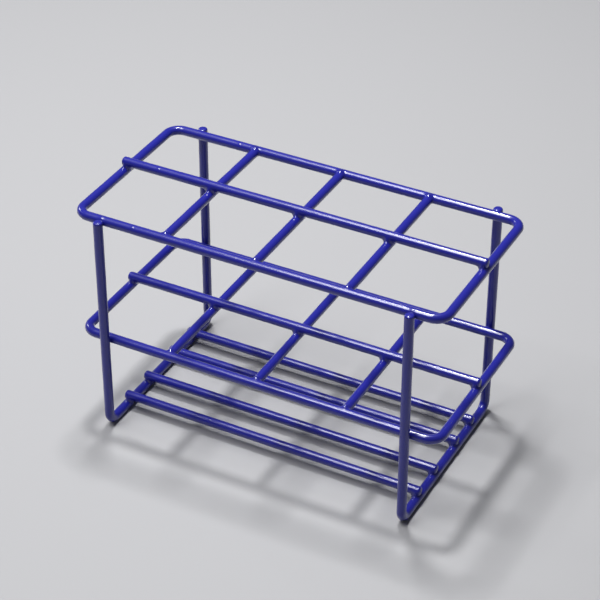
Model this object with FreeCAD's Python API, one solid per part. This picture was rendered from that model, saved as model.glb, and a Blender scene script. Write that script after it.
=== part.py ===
import FreeCAD, Part
import math
import os

# Welded wire rack for eight large tubes, in millimetres. It stands on the table plane z = 0,
# centred on the origin, with its long side along X and its short side along Y.
# Every wire is steel in a glossy plastic coat. Crossing wires are pressed into each other until
# their steel cores meet, and a wire that is butted to a ring is coped to the ring's round side.

# Wire stock and the way two wires meet
steel_d = 3.2              # bare steel wire
coat_thickness = 0.15      # plastic coat all round the wire
weld_bite = 0.05           # how far the steel cores of crossing wires sink into each other
cut_end_chamfer = 0.45     # coated rim of a sheared wire end
cross_wire_step = 0.1      # a cross wire is this much thinner than the ring that it is butted to
straights_per_bend = 5     # straight lengths that stand for the curve of one bend

# Decks: two alike rings, each with cross wires and one lengthwise wire
ring_length = 141.0        # between the axes of the two short sides
ring_width = 67.0          # between the axes of the two long sides
ring_bend = 5.0            # corner radius on the wire's axis
upper_deck_height = 88.4   # ring axis above the table
lower_deck_height = 38.2
cross_wire_pitch = 35.0
centre_wire_overhang = 1.2 # the lengthwise wire ends this far past the axis of the ring's short side

# End frames: a leg, a runner on the table and a second leg, bent from one wire
leg_inset = 10.8           # from the axis of the ring's short side to the legs
leg_rise = 1.2             # the legs end this far above the axis of the upper ring
runner_bend = 4.0          # bend between leg and runner, on the wire's axis

# Base: four lengthwise wires on the runners, which carry the tubes
inner_base_spacing = 18.4
outer_base_spacing = 46.0
base_wire_overhang = 1.2   # each base wire ends this far past the axis of the runner

# Worked out from the above
wire_r = steel_d / 2 + coat_thickness
cross_wire_r = wire_r - cross_wire_step / 2
stack = steel_d - weld_bite
leg_x = ring_length / 2 - leg_inset
leg_y = ring_width / 2 + stack
leg_top = upper_deck_height + leg_rise
runner_z = wire_r
base_wire_z = runner_z + stack
deck_height = {"upper": upper_deck_height, "lower": lower_deck_height}
long_side_y = {"front": -ring_width / 2, "back": ring_width / 2}
cross_wire_x = {"left": -cross_wire_pitch, "middle": 0.0, "right": cross_wire_pitch}
base_wire_y = {
    "front_outer": -outer_base_spacing / 2,
    "front_inner": -inner_base_spacing / 2,
    "back_inner": inner_base_spacing / 2,
    "back_outer": outer_base_spacing / 2,
}

Vector = FreeCAD.Vector


def with_rims(wire, ends):
    """The wire with the rims of its sheared ends broken, as the coat leaves them."""
    rims = []
    for edge in wire.Edges:
        round_edge = isinstance(edge.Curve, Part.Circle)
        if round_edge and any(edge.Curve.Center.isEqual(end, 1e-6) for end in ends):
            rims.append(edge)
    return wire.makeChamfer(cut_end_chamfer, rims)


def sheared_wire(start, end):
    """Straight wire that ends in the open on both sides."""
    run = end - start
    return with_rims(Part.makeCylinder(wire_r, run.Length, start, run), [start, end])


def bend_points(before, corner, after, radius):
    """Corners of the straight lengths that run tangent to a bend, in order."""
    inward = (corner - before).normalize()
    outward = (after - corner).normalize()
    turn = inward.getAngle(outward)
    centre = corner + (outward - inward) * radius * math.tan(turn / 2)
    spread = radius / math.cos(turn / straights_per_bend / 2)
    to_bend = (corner - centre).normalize()
    axis = inward.cross(outward)
    points = []
    for step in range(straights_per_bend):
        angle = turn * ((step + 0.5) / straights_per_bend - 0.5)
        points.append(centre + FreeCAD.Rotation(axis, math.degrees(angle)).multVec(to_bend) * spread)
    return points


def bent_wire(start, corners, end, radius):
    """Round wire that runs from start to end and is bent at each corner between them."""
    stops = [start] + corners + [end]
    spine = [start]
    for before, corner, after in zip(stops, stops[1:], stops[2:]):
        spine.extend(bend_points(before, corner, after, radius))
    spine.append(end)
    section = Part.Wire(Part.makeCircle(wire_r, start, spine[1] - start))
    mitred = 1
    return Part.makePolygon(spine).makePipeShell([section], True, False, mitred)


def make_ring(height):
    """Rectangle of bent wire, made as two halves that are butt-welded into one loop."""
    front_middle = Vector(0, long_side_y["front"], height)
    back_middle = Vector(0, long_side_y["back"], height)
    halves = []
    for end_x in (-ring_length / 2, ring_length / 2):
        front_corner = Vector(end_x, long_side_y["front"], height)
        back_corner = Vector(end_x, long_side_y["back"], height)
        halves.append(bent_wire(front_middle, [front_corner, back_corner], back_middle, ring_bend))
    return halves[0].fuse(halves[1]).removeSplitter()


def make_cross_wire(x, ring, height):
    """Wire across a ring, with both ends coped to the ring's long sides."""
    front = Vector(x, long_side_y["front"], height)
    return Part.makeCylinder(cross_wire_r, ring_width, front, Vector(0, 1, 0)).cut(ring)


def make_centre_wire(height, carriers):
    """Lengthwise wire that lies on a ring's short sides and on its cross wires."""
    reach = ring_length / 2 + centre_wire_overhang
    return sheared_wire(Vector(-reach, 0, height + stack), Vector(reach, 0, height + stack)).cut(carriers)


def make_end_frame(x, rings):
    """Two legs and the runner between them, bent from one wire and pressed against both rings."""
    front_top = Vector(x, -leg_y, leg_top)
    front_foot = Vector(x, -leg_y, runner_z)
    back_foot = Vector(x, leg_y, runner_z)
    back_top = Vector(x, leg_y, leg_top)
    frame = bent_wire(front_top, [front_foot, back_foot], back_top, runner_bend)
    return with_rims(frame, [front_top, back_top]).cut(rings)


def make_base_wire(y, end_frames):
    """Lengthwise wire that lies across both runners."""
    reach = leg_x + base_wire_overhang
    return sheared_wire(Vector(-reach, y, base_wire_z), Vector(reach, y, base_wire_z)).cut(end_frames)


def save(node, shape):
    """One node's file, holding its one solid."""
    shape.exportStep("parts/" + node + ".step")


os.makedirs("parts", exist_ok=True)

# Decks: ring, cross wires, and the lengthwise wire on top
rings = []
for deck, height in deck_height.items():
    ring = make_ring(height)
    rings.append(ring)
    save(deck + "_ring", ring)
    carriers = [ring]
    for place, x in cross_wire_x.items():
        cross_wire = make_cross_wire(x, ring, height)
        carriers.append(cross_wire)
        save(deck + "_cross_wire_" + place, cross_wire)
    save(deck + "_centre_wire", make_centre_wire(height, carriers))

# End frames, and the base wires across their runners
end_frames = []
for place, x in {"left": -leg_x, "right": leg_x}.items():
    end_frame = make_end_frame(x, rings)
    end_frames.append(end_frame)
    save(place + "_end_frame", end_frame)
for place, y in base_wire_y.items():
    save("base_wire_" + place, make_base_wire(y, end_frames))
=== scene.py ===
import math

import bmesh
import bpy
import numpy as np
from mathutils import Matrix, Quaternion, Vector, noise


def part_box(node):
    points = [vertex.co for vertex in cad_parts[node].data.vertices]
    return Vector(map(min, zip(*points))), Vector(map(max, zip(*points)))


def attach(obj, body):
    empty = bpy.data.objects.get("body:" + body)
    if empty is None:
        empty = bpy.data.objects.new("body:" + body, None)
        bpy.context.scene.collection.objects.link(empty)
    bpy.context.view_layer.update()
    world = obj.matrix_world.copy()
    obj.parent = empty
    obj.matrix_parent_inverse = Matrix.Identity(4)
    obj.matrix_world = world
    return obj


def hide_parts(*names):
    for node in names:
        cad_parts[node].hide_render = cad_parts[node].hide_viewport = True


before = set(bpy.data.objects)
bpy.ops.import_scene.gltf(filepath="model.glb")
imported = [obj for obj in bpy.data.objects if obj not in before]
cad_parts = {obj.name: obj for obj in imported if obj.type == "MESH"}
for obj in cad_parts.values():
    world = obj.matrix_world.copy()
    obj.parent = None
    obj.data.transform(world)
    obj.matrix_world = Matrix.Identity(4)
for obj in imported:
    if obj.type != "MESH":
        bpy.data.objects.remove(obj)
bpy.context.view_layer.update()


# Upper and lower ring: each a rectangle of steel wire, bent cold at its four corners and
# butt-welded into one loop. The two rings are alike and hold the tubes upright; the four legs
# are welded to the outside of their long sides.
mm = 0.001
ring_bend = 5.0 * mm        # corner radius on the wire's axis
wire_flats = 40             # vertices round a wire
weld_reach = 6.0 * mm       # a weld's coat may spread this far along the wire
weld_step = 0.22 * mm       # between loops of vertices where a weld's coat has to be shaped
plain_step = 1.6 * mm       # between loops of vertices elsewhere
bend_loops = 14             # loops of vertices round one bend
no_length = 0.001 * mm      # lengths and gaps up to this count as none
front, back = -1, 1         # which way along Y a long side lies
ring_nib_x = {front: [-47.0 * mm], back: [-41.9 * mm]}  # lumps in the upper ring's coat

X, Y, Z = Vector((1, 0, 0)), Vector((0, 1, 0)), Vector((0, 0, 1))
wires = {}


def middle(node):
    """Centre of a CAD node's box."""
    low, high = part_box(node)
    return (low + high) / 2


def half_size(node):
    """Half of a CAD node's box along each axis."""
    low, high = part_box(node)
    return (high - low) / 2


def start_wire(start, along, radius):
    """A new wire's first loop, in edit mode and selected, ready to be pulled along."""
    bpy.ops.object.select_all(action="DESELECT")
    bpy.ops.mesh.primitive_circle_add(
        vertices=wire_flats,
        radius=radius,
        fill_type="NOTHING",
        location=start,
        rotation=along.to_track_quat("Z", "Y").to_euler(),
    )
    bpy.ops.object.transform_apply(location=True, rotation=True, scale=True)
    bpy.ops.object.mode_set(mode="EDIT")
    bpy.ops.mesh.select_mode(type="EDGE")
    bpy.ops.mesh.select_all(action="SELECT")


def select_edges(wanted):
    """Selects the edges of the open mesh for which wanted(edge) holds, and no others."""
    mesh = bpy.context.object.data
    work = bmesh.from_edit_mesh(mesh)
    picked = [edge for edge in work.edges if wanted(edge)]
    bpy.ops.mesh.select_all(action="DESELECT")
    for edge in picked:
        edge.select_set(True)
    bmesh.update_edit_mesh(mesh)


def pull_wire(by, step):
    """Pulls the wire's open end along by a vector, with a loop of vertices at every step."""
    bpy.ops.mesh.extrude_edges_move(TRANSFORM_OT_translate={"value": by})
    loops = round(by.length / step) - 1
    if loops < 1:
        return
    work = bmesh.from_edit_mesh(bpy.context.object.data)
    open_end = {vert.index for vert in work.verts if vert.select}
    select_edges(lambda edge: edge.verts[0].select != edge.verts[1].select)
    bpy.ops.mesh.subdivide(number_cuts=loops)
    select_edges(lambda edge: all(vert.index in open_end for vert in edge.verts))


def pull_past_welds(start, end, welds):
    """Pulls the wire from start to end, with close loops round each weld on the way."""
    along = (end - start).normalized()
    length = (end - start).length
    here = 0.0
    for weld in sorted((point - start).dot(along) for point in welds):
        for stop, step in ((weld - weld_reach, plain_step), (weld + weld_reach, weld_step)):
            stop = min(stop, length)
            if stop - here > no_length:
                pull_wire(along * (stop - here), step)
                here = stop
    if length - here > no_length:
        pull_wire(along * (length - here), plain_step)


def bend_wire(centre, axis):
    """Bends the wire's open end a quarter turn round a centre; spin turns against the axis."""
    bpy.ops.mesh.spin(steps=bend_loops, angle=-math.pi / 2, center=centre, axis=axis)


def finish_wire():
    """Joins what meets, points the faces outwards and leaves edit mode."""
    bpy.ops.mesh.select_all(action="SELECT")
    bpy.ops.mesh.remove_doubles(threshold=no_length)
    bpy.ops.mesh.normals_make_consistent(inside=False)
    bpy.ops.object.mode_set(mode="OBJECT")
    bpy.ops.object.shade_smooth()


def lay_wires(nodes):
    """Puts the finished wire in the first node's place, and copies of it in the others' places."""
    alike = [bpy.context.active_object]
    for before, node in zip(nodes, nodes[1:]):
        move = middle(node) - middle(before)
        bpy.ops.object.duplicate_move(TRANSFORM_OT_translate={"value": move})
        bpy.ops.object.transform_apply(location=True, rotation=True, scale=True)
        alike.append(bpy.context.active_object)
    for node, wire in zip(nodes, alike):
        wire.name = wire.data.name = "wire_" + node
        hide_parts(node)
        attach(wire, "root")
        wires[node] = wire


ring_nodes = ["upper_ring", "lower_ring"]
cross_places = ("left", "middle", "right")
cross_nodes = [
    f"{deck}_cross_wire_{place}" for deck in ("upper", "lower") for place in cross_places
]
frame_nodes = ["left_end_frame", "right_end_frame"]
wire_r = half_size("upper_ring").z
ring_half_x = half_size("upper_ring").x - wire_r
ring_half_y = half_size("upper_ring").y - wire_r
ring_z = middle("upper_ring").z
flat_x = ring_half_x - ring_bend
flat_y = ring_half_y - ring_bend
cross_x = [middle("upper_cross_wire_" + place).x for place in cross_places]
leg_x = [middle(node).x for node in frame_nodes]
start_wire(Vector((-flat_x, -ring_half_y, ring_z)), X, wire_r)
for side in (front, back):
    long_start = Vector((side * flat_x, side * ring_half_y, ring_z))
    long_end = long_start - 2 * flat_x * side * X
    marks = cross_x + leg_x + ring_nib_x[side]
    welds = [Vector((x, side * ring_half_y, ring_z)) for x in marks]
    pull_past_welds(long_start, long_end, welds)
    bend_wire(Vector((-side * flat_x, side * flat_y, ring_z)), Z)
    short_start = Vector((-side * ring_half_x, side * flat_y, ring_z))
    short_end = short_start - 2 * flat_y * side * Y
    pull_past_welds(short_start, short_end, [Vector((-side * ring_half_x, 0, ring_z))])
    bend_wire(Vector((-side * flat_x, -side * flat_y, ring_z)), Z)
finish_wire()
lay_wires(ring_nodes)


# Cross wires: three short wires across each ring, which part it into four pairs of tube places.
# Each is cut to length and butt-welded to the inside of the ring's long sides.
butt_depth = 1.2 * mm       # the hidden end of a cross wire lies this far inside the ring's wire

cross_centre = middle(cross_nodes[0])
cross_r = half_size(cross_nodes[0]).x
to_ring = ring_half_y * Y
cross_reach = to_ring - (wire_r - butt_depth) * Y
start_wire(cross_centre - cross_reach, Y, cross_r)
welds = [cross_centre - to_ring, cross_centre, cross_centre + to_ring]
pull_past_welds(cross_centre - cross_reach, cross_centre + cross_reach, welds)
bpy.ops.mesh.select_all(action="SELECT")
bpy.ops.mesh.fill_holes(sides=0)
finish_wire()
lay_wires(cross_nodes)


# Centre wires: one long wire lies along the middle of each deck, on top of the cross wires and
# the ring's short sides, and is spot-welded where it crosses them. It parts the front tube
# places from the back ones, and its sheared ends stand a little way past the ring.
sheared_rim = 0.80 * mm     # the dipped coat rounds a sheared wire end by this much
sheared_tip = 0.88 * mm     # plain length at such an end, most of which the rounding takes up
rim_loops = 5               # rings of faces that round the rim
cap_rings = 3               # rings of faces on a wire's end, inside its rounded rim
cap_dome = 0.16 * mm        # the coat on a wire's end is this much thicker in the middle
centre_nib_x = [-56.4 * mm]  # lumps in the upper wire's coat


def is_cap(face):
    """Whether a face closes a wire's end."""
    return len(face.verts) == wire_flats


def round_off_ends(rim):
    """Closes the wire's open ends and rounds their rims, as the coat does over a sheared wire."""
    bpy.ops.mesh.select_all(action="SELECT")
    bpy.ops.mesh.fill_holes(sides=0)
    select_edges(lambda edge: any(is_cap(face) for face in edge.link_faces))
    bpy.ops.mesh.bevel(offset=rim, segments=rim_loops, affect="EDGES")
    bpy.ops.mesh.select_mode(type="FACE")
    bpy.ops.mesh.select_all(action="DESELECT")
    mesh = bpy.context.object.data
    for face in bmesh.from_edit_mesh(mesh).faces:
        face.select_set(is_cap(face))
    bmesh.update_edit_mesh(mesh)
    for _ in range(cap_rings):
        bpy.ops.mesh.inset(thickness=(wire_r - rim) / (cap_rings + 1))
        bpy.ops.transform.shrink_fatten(value=cap_dome / cap_rings)
    bpy.ops.mesh.poke()
    bpy.ops.mesh.select_mode(type="EDGE")


def lay_sheared_wires(nodes, marks):
    """Straight wires along X with rounded ends, all alike and as long as their CAD nodes.

    The marks are the places along X of their welds and of the lumps in their coat.
    """
    centre = middle(nodes[0])
    reach = half_size(nodes[0]).x * X
    tip = sheared_tip * X
    start_wire(centre - reach, X, wire_r)
    pull_wire(tip, sheared_tip)
    welds = [Vector((x, centre.y, centre.z)) for x in marks]
    pull_past_welds(centre - reach + tip, centre + reach - tip, welds)
    pull_wire(tip, sheared_tip)
    round_off_ends(sheared_rim)
    finish_wire()
    lay_wires(nodes)


centre_nodes = ["upper_centre_wire", "lower_centre_wire"]
lay_sheared_wires(centre_nodes, [-ring_half_x, *cross_x, ring_half_x, *centre_nib_x])


# End frames: each is one wire bent into a leg, a runner that stands on the table and a second
# leg. The legs are welded to the outside of both rings and end, sheared off, about level with
# the top of the upper ring.
runner_bend = 4.0 * mm      # bend between leg and runner, on the wire's axis
leg_rim = 0.70 * mm         # the coat on a leg's top is thinner than on the other wire ends
leg_tip = 0.84 * mm         # plain length at that end

base_nodes = [
    "base_wire_" + place for place in ("front_outer", "front_inner", "back_inner", "back_outer")
]
base_y = [middle(node).y for node in base_nodes]
ring_heights = [middle(node).z for node in ring_nodes]
frame_x = leg_x[0]
leg_y = half_size(frame_nodes[0]).y - wire_r
leg_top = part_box(frame_nodes[0])[1].z
runner_z = wire_r
runner_half = leg_y - runner_bend
knee_z = runner_z + runner_bend
tip = leg_tip * Z
front_top = Vector((frame_x, -leg_y, leg_top))
front_knee = Vector((frame_x, -leg_y, knee_z))
runner_start = Vector((frame_x, -runner_half, runner_z))
runner_end = Vector((frame_x, runner_half, runner_z))
back_knee = Vector((frame_x, leg_y, knee_z))
back_top = Vector((frame_x, leg_y, leg_top))
front_welds = [Vector((frame_x, -leg_y, z)) for z in ring_heights]
runner_welds = [Vector((frame_x, y, runner_z)) for y in base_y]
back_welds = [Vector((frame_x, leg_y, z)) for z in ring_heights]
start_wire(front_top, -Z, wire_r)
pull_wire(-tip, leg_tip)
pull_past_welds(front_top - tip, front_knee, front_welds)
bend_wire(front_knee + runner_bend * Y, X)
pull_past_welds(runner_start, runner_end, runner_welds)
bend_wire(back_knee - runner_bend * Y, X)
pull_past_welds(back_knee, back_top - tip, back_welds)
pull_wire(tip, leg_tip)
round_off_ends(leg_rim)
finish_wire()
lay_wires(frame_nodes)


# Base wires: four long wires across the two runners, spot-welded on top of them. They tie the
# end frames together and carry the round bottoms of the tubes, two wires to each row.
base_nib_x = [-24.5 * mm]  # lumps in the front outer wire's coat

lay_sheared_wires(base_nodes, leg_x + base_nib_x)


# Shape of the coat: the welded rack is dipped as a whole, so one skin of plastic lies over every
# wire. It runs together at each weld into a smooth fillet, swells over beads of weld metal and
# over lumps that dried in it, and hangs a little unevenly along the wires.
crossing_flow = 2.9 * mm    # width over which the skins of two crossing wires run together
butt_flow = 1.7 * mm        # the same where a cross wire is butted to a ring
leg_flow = 1.1 * mm         # the same where a leg passes a ring
flush_flow = 0.35           # share of that flow where two wires lie flush with each other
corner_flow = 0.25          # share of it in the upright corners between two wires
end_flow = 0.06             # share of it that is left at the end of a sheared wire
end_clear = 0.65 * mm       # length of that end
end_fade = 0.9 * mm         # length over which the flow dies down before it
flow_reach = 4.35 * mm      # further than this from other wires, nothing runs together
flow_limit = 0.9 * mm       # deepest pool of coat over a wire
flow_rounds = 16            # rounds in which a vertex is moved out to the shared skin
slope_nudge = 0.02 * mm     # step over which the slope of a skin is taken
bury_fade = 0.6 * mm        # this deep inside another wire, there is no coat
under_skin = 0.03 * mm      # the carrying wire's fillet lies this far under the other's
full_crevice_shade = 0.5 * mm        # coat that has pooled this deep at a weld gets the full painted crevice shade
nib_height = 0.09 * mm      # small lumps that dried in the coat
nib_size = 0.40 * mm        # how far each spreads over the skin
nib_lean = math.radians(28)  # they lie this far forward of a wire's top
swell_height = 0.12 * mm    # swelling of the upper ring where a leg's end is welded to it
swell_size = 0.8 * mm       # how far it spreads
swell_lean = math.radians(24)  # it lies this far towards the leg
bead_height = 0.42 * mm     # bead of weld metal on a cross wire, just inside the ring
bead_size = 0.75 * mm       # how far it spreads
bead_inset = 1.5 * mm       # from the ring's axis to the bead
sag = 0.03 * mm             # unevenness of the coat
sag_length = 9.0 * mm       # length of its waves


def outside_round_end(radial, past_end, radius, rim):
    """Distance outside a round wire with a rounded end, from a point's place along and off it."""
    off, past = radial - (radius - rim), past_end + rim
    corner = np.hypot(np.maximum(off, 0), np.maximum(past, 0))
    return corner + np.minimum(np.maximum(off, past), 0) - rim


def off_rounded_corner(first, second, bend):
    """Distance off a bent line, from how far a point is past the bend's two straights."""
    first, second = first + bend, second + bend
    corner = np.hypot(np.maximum(first, 0), np.maximum(second, 0))
    return corner + np.minimum(np.maximum(first, second), 0) - bend


def ring_skin(node):
    """Function from points to their distance outside a ring's skin."""
    height = middle(node).z

    def distance(points):
        x, y, z = points.T
        off = off_rounded_corner(np.abs(x) - ring_half_x, np.abs(y) - ring_half_y, ring_bend)
        return np.hypot(off, z - height) - wire_r

    return distance


def straight_skin(node, axis, radius):
    """Function from points to their distance outside a straight wire's skin."""
    centre, reach = np.array(middle(node)), half_size(node)[axis]

    def distance(points):
        offset = points - centre
        radial = np.linalg.norm(np.delete(offset, axis, axis=1), axis=1)
        return outside_round_end(radial, np.abs(offset[:, axis]) - reach, radius, sheared_rim)

    return distance


def end_frame_skin(node):
    """Function from points to their distance outside an end frame's skin."""
    middle_x = middle(node).x

    def distance(points):
        x, y, z = points.T
        off = off_rounded_corner(np.abs(y) - leg_y, runner_z - z, runner_bend)
        return outside_round_end(np.hypot(off, x - middle_x), z - leg_top, wire_r, leg_rim)

    return distance


along_x, along_y = 0, 1     # the coordinate that runs along a straight wire
lay_order = list(wires)
skins = {node: ring_skin(node) for node in ring_nodes}
skins |= {node: straight_skin(node, along_y, cross_r) for node in cross_nodes}
skins |= {node: end_frame_skin(node) for node in frame_nodes}
skins |= {node: straight_skin(node, along_x, wire_r) for node in centre_nodes + base_nodes}
lumps = {node: [] for node in lay_order}


def add_lump(node, line, lean, height, size):
    """Keeps a lump in a wire's coat, over a point of its axis and leaning back from its top."""
    up = Vector((0, math.sin(lean), math.cos(lean)))
    radius = cross_r if node in cross_nodes else wire_r
    lumps[node].append((np.array(line + radius * up), height, size))


def add_nibs(node, places, y):
    """Keeps the small lumps of a wire, from their places along it."""
    for x in places:
        line = Vector((x, y, middle(node).z))
        add_lump(node, line, -nib_lean, nib_height, nib_size)


add_nibs("upper_centre_wire", centre_nib_x, middle("upper_centre_wire").y)
add_nibs("base_wire_front_outer", base_nib_x, middle("base_wire_front_outer").y)
for side in (front, back):
    add_nibs("upper_ring", ring_nib_x[side], side * ring_half_y)
    for x in leg_x:
        line = Vector((x, side * ring_half_y, ring_z))
        add_lump("upper_ring", line, side * swell_lean, swell_height, swell_size)
    for node in cross_nodes:
        line = middle(node) + side * (ring_half_y - bead_inset) * Y
        add_lump(node, line, 0, bead_height, bead_size)


def weld_flow(node, other):
    """Width over which the skins of these two wires run together."""
    both = {node, other}
    if both.isdisjoint(ring_nodes):
        return crossing_flow
    if not both.isdisjoint(frame_nodes):
        return leg_flow
    return crossing_flow if both.isdisjoint(cross_nodes) else butt_flow


def short_of_end(node, points):
    """How far the points of a wire are short of its clear, sheared end, along the wire."""
    if node in frame_nodes:
        return leg_top - end_clear - points[:, 2]
    if node in centre_nodes + base_nodes:
        return half_size(node).x - end_clear - np.abs(points[:, 0])
    return np.full(len(points), end_fade)


def flow_between(node, other, points, normals):
    """How wide two skins run together at each point.

    It is less where they lie flush, in upright corners and at the ends of wires.
    """
    skin = skins[other]
    here = skin(points)
    nudges = slope_nudge * np.eye(3)
    slope = np.array([(skin(points + nudge) - here) / slope_nudge for nudge in nudges]).T
    facing = np.sum(slope * normals, axis=1)
    upright = np.hypot(normals[:, 0], normals[:, 1]) * np.hypot(slope[:, 0], slope[:, 1])
    flow = weld_flow(node, other)
    flow = flow * (flush_flow + (1 - flush_flow) * np.sqrt(np.clip(1 - facing, 0, 1)))
    flow = flow * (1 - (1 - corner_flow) * np.clip(upright, 0, 1))
    for sheared in (node, other):
        near_end = np.clip(1 - short_of_end(sheared, points) / end_fade, 0, 1)
        flow = flow * (1 - (1 - end_flow) * near_end**2)
    return flow


def rise_to_shared_skin(node, other, points, normals):
    """How far the points of a wire rise to the skin that it shares with another wire.

    That skin is the smooth least of the two distances, over the width of the flow.
    """
    flow = flow_between(node, other, points, normals)
    buried = np.clip(1 + skins[other](points) / bury_fade, 0, 1)
    limit = np.minimum(flow, flow_limit) * buried
    carries = lay_order.index(other) > lay_order.index(node)
    raised = np.zeros(len(points))
    for _ in range(flow_rounds):
        place = points + raised[:, None] * normals
        own, met = skins[node](place), skins[other](place)
        share = np.clip(1 - np.abs(own - met) / flow, 0, 1)
        level = np.minimum(own, met) - share**2 * flow / 4
        if carries:
            level = level + under_skin * share
        raised = np.clip(raised - level, 0, limit)
    return raised


def dip_wire(node):
    """Moves a wire's vertices out to the coat, and keeps how deep it has pooled at each, as a mask
    for painted shade in the weld crevices.
    """
    mesh = wires[node].data
    count = len(mesh.vertices)
    points, normals = np.empty(3 * count), np.empty(3 * count)
    mesh.vertices.foreach_get("co", points)
    mesh.vertices.foreach_get("normal", normals)
    points, normals = points.reshape(-1, 3), normals.reshape(-1, 3)
    lift = np.zeros(count)
    for other in lay_order:
        near = np.flatnonzero(skins[other](points) < flow_reach)
        if other != node and len(near):
            raised = rise_to_shared_skin(node, other, points[near], normals[near])
            lift[near] = np.maximum(lift[near], raised)
    lift *= np.clip(short_of_end(node, points) / end_fade, 0, 1)
    waves = np.array([noise.noise(Vector(point) / sag_length) for point in points])
    bumps = np.zeros(count)
    for place, height, size in lumps[node]:
        bumps += height * np.exp(-np.sum((points - place) ** 2, axis=1) / size**2)
    placed = points + (lift + sag * waves + bumps)[:, None] * normals
    mesh.vertices.foreach_set("co", placed.ravel())
    mesh.update()
    # how deep the coat has pooled, kept as a mask of painted shade in the weld crevices
    pool_shade = mesh.attributes.new("painted_crevice_shade", "FLOAT", "POINT")
    pool_shade.data.foreach_set("value", np.clip(lift / full_crevice_shade, 0, 1))


for node in lay_order:
    dip_wire(node)


# Finish of the coat: glossy blue plastic with a clear top and a faint orange peel. The blue is a
# little mottled, and darker where the coat has pooled at the welds: painted shade in the crevices.
skin_blue = (0.013, 0.015, 0.27, 1.0)
# the darker blue: random mottle, and painted shade where the coat has pooled in weld crevices
mottle_and_shade_blue = (0.008, 0.010, 0.19, 1.0)
mottle_share = 0.55         # of the way from the one blue to the other, where the mottle is full
crevice_shade_share = 0.35           # the same where the painted shade in a weld crevice is full
least_roughness = 0.30
roughness_spread = 0.16
fine_peel_share = 0.3       # height of the fine peel, as a share of the broad one's
peel_strength = 0.10
peel_height = 0.012 * mm
mottle_grain = {"Scale": 60.0, "Detail": 3.0}
gloss_grain = {"Scale": 140.0, "Detail": 2.0}
broad_grain = {"Scale": 220.0, "Detail": 1.0}
fine_grain = {"Scale": 900.0, "Detail": 1.0}
# The same all over: the plastic itself, and its clear top
plastic = {"IOR": 1.5, "Specular IOR Level": 0.15, "Coat Weight": 1.0, "Coat Roughness": 0.16}
mix_factor, mix_first, mix_second, mix_result = 0, 6, 7, 2  # a Mix node's sockets for colours


class Shade:
    """A shader socket that can be used in sums, with Math nodes added for them."""

    def __init__(self, tree, socket=None):
        self.tree, self.socket = tree, socket

    def node(self, kind, settings, sockets, output=0):
        """Adds a node, its settings first and then its sockets, and gives one of its outputs."""
        made = self.tree.nodes.new(kind)
        for key, value in settings.items():
            setattr(made, key, value)
        for key, value in sockets.items():
            if isinstance(value, Shade):
                self.tree.links.new(value.socket, made.inputs[key])
            else:
                made.inputs[key].default_value = value
        return Shade(self.tree, made.outputs[output])

    def __add__(self, other):
        return self.node("ShaderNodeMath", {"operation": "ADD"}, {0: self, 1: other})

    def __mul__(self, other):
        return self.node("ShaderNodeMath", {"operation": "MULTIPLY"}, {0: self, 1: other})

    __radd__ = __add__
    __rmul__ = __mul__


def blue_coat():
    """Glossy blue plastic, a little mottled, and darker where it has pooled in the weld crevices,
    as painted shade.
    """
    material = bpy.data.materials.new("blue_coat")
    material.use_nodes = True
    tree = material.node_tree
    shader = tree.nodes["Principled BSDF"]
    maker = Shade(tree)
    place = maker.node("ShaderNodeTexCoord", {}, {}, "Object")
    # mask of painted shade in the weld crevices, from how deep the coat has pooled
    pool_shade = maker.node("ShaderNodeAttribute", {"attribute_name": "painted_crevice_shade"}, {}, "Fac")

    def grain(pattern):
        return maker.node("ShaderNodeTexNoise", {}, {"Vector": place, **pattern}, "Fac")

    mottle_and_shade = mottle_share * grain(mottle_grain) + crevice_shade_share * pool_shade
    peel = fine_peel_share * grain(fine_grain) + grain(broad_grain)
    varying = {
        "Base Color": maker.node(
            "ShaderNodeMix",
            {"data_type": "RGBA"},
            {mix_factor: mottle_and_shade, mix_first: skin_blue, mix_second: mottle_and_shade_blue},
            mix_result,
        ),
        "Roughness": least_roughness + roughness_spread * grain(gloss_grain),
        "Normal": maker.node(
            "ShaderNodeBump",
            {},
            {"Height": peel, "Strength": peel_strength, "Distance": peel_height},
            "Normal",
        ),
    }
    for name, shade in varying.items():
        tree.links.new(shade.socket, shader.inputs[name])
    for name, value in plastic.items():
        shader.inputs[name].default_value = value
    return material


coat = blue_coat()
for wire in wires.values():
    wire.data.materials.append(coat)


# Floor: a plain, pale and dull table top that the runners stand on. It is so much wider than
# the rack that its edges stay out of the picture.
floor_size = 6.0
floor_pale = (0.37, 0.37, 0.38, 1.0)
floor_roughness = 0.6

bpy.ops.object.select_all(action="DESELECT")
bpy.ops.mesh.primitive_plane_add(size=floor_size)
floor = bpy.context.active_object
floor.name = "floor"
floor_paint = bpy.data.materials.new("floor_paint")
floor_paint.use_nodes = True
floor_finish = floor_paint.node_tree.nodes["Principled BSDF"].inputs
floor_finish["Base Color"].default_value = floor_pale
floor_finish["Roughness"].default_value = floor_roughness
floor.data.materials.append(floor_paint)


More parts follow.
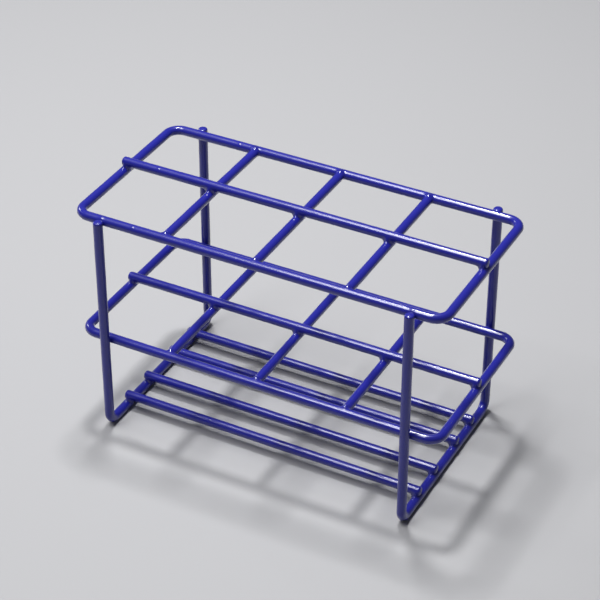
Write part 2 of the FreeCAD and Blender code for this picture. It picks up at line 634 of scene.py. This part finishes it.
# Lights: a large soft light high up on the left, in front of the rack, a small lamp close above
# it that draws its shadow, a weaker light lower down on its left, and faint light all round.
softbox_place = Vector((-0.70, -0.62, 2.5))
softbox_size = (0.67, 1.60)
softbox_watts = 57.0
lamp_place = Vector((-0.117, 0.140, 0.724))
lamp_size = (0.11, 0.11)
lamp_watts = 4.4
side_light_place = Vector((-1.70, 0.47, 0.95))
side_light_size = (0.42, 0.42)
side_light_watts = 6.0
around_pale = (0.90, 0.92, 1.0, 1.0)
around_strength = 0.12
aim = Vector((-5.124, 10.808, 45.151)) * mm  # point of the rack in the middle of the view


def soft_light(name, place, shape, size, watts):
    """An area light, which points straight down."""
    bpy.ops.object.light_add(type="AREA", location=place)
    light = bpy.context.active_object
    light.name = name
    light.data.shape = shape
    light.data.size, light.data.size_y = size
    light.data.energy = watts
    return light


soft_light("softbox", softbox_place, "RECTANGLE", softbox_size, softbox_watts)
soft_light("lamp", lamp_place, "DISK", lamp_size, lamp_watts)
side_light = soft_light(
    "side_light", side_light_place, "SQUARE", side_light_size, side_light_watts
)
side_light.rotation_mode = "QUATERNION"
side_light.rotation_quaternion = (aim - side_light_place).to_track_quat("-Z", "Y")

world = bpy.data.worlds.new("around")
world.use_nodes = True
around = world.node_tree.nodes["Background"].inputs
around["Color"].default_value = around_pale
around["Strength"].default_value = around_strength
bpy.context.scene.world = world


# Camera: it stands where the photograph was taken from, in front of the rack and to its right,
# and looks down on it through a long lens.
camera_distance = 748.4 * mm
camera_azimuth = math.radians(27.513)
camera_elevation = math.radians(34.816)
camera_roll = math.radians(0.20)
camera_lens = 122.66        # in millimetres, for the sensor width below
camera_sensor = 36.0

level_view = math.cos(camera_elevation)
towards_camera = Vector((
    level_view * math.sin(camera_azimuth),
    -level_view * math.cos(camera_azimuth),
    math.sin(camera_elevation),
))
upright_view = (-towards_camera).to_track_quat("-Z", "Y")
bpy.ops.object.camera_add(location=aim + camera_distance * towards_camera)
camera = bpy.context.active_object
camera.rotation_mode = "QUATERNION"
camera.rotation_quaternion = upright_view @ Quaternion(Z, camera_roll)
camera.data.lens = camera_lens
camera.data.sensor_width = camera_sensor
bpy.context.scene.camera = camera
bpy.context.scene.view_settings.view_transform = "Standard"
